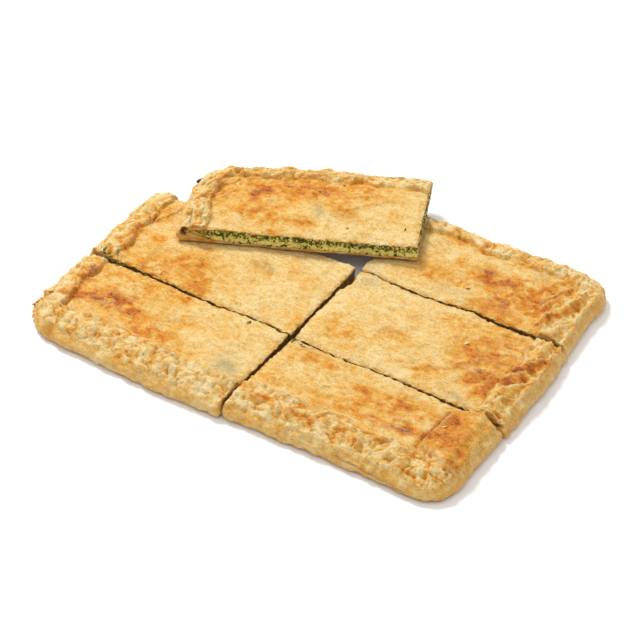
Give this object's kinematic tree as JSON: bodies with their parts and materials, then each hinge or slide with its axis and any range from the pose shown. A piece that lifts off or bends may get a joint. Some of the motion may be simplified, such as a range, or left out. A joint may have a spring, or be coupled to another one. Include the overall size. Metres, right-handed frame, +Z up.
{
  "type": "spanakopita pie",
  "caption": "Oblong spinach and cheese pie in a folded pastry crust, cut into oblong slices, with one slice laid across the others.",
  "frame": {"origin": "below the middle of the whole, on the surface that the pie lies on", "axes": "+X along the long side to the right, +Y from the front edge to the back, +Z up"},
  "size_m": [0.3994, 0.3207, 0.0386],
  "materials": {
    "crust": "baked golden, slightly oily",
    "filling": "moist, dark green and pale yellow"
  },
  "bodies": {
    "root": {"crust_front_left": "crust", "crust_front_right": "crust", "crust_middle_left": "crust", "crust_middle_right": "crust", "crust_back_left": "crust", "crust_back_right": "crust", "filling_front_left": "filling", "filling_front_right": "filling", "filling_middle_left": "filling", "filling_middle_right": "filling", "filling_back_left": "filling", "filling_back_right": "filling"}
  },
  "joints": []
}
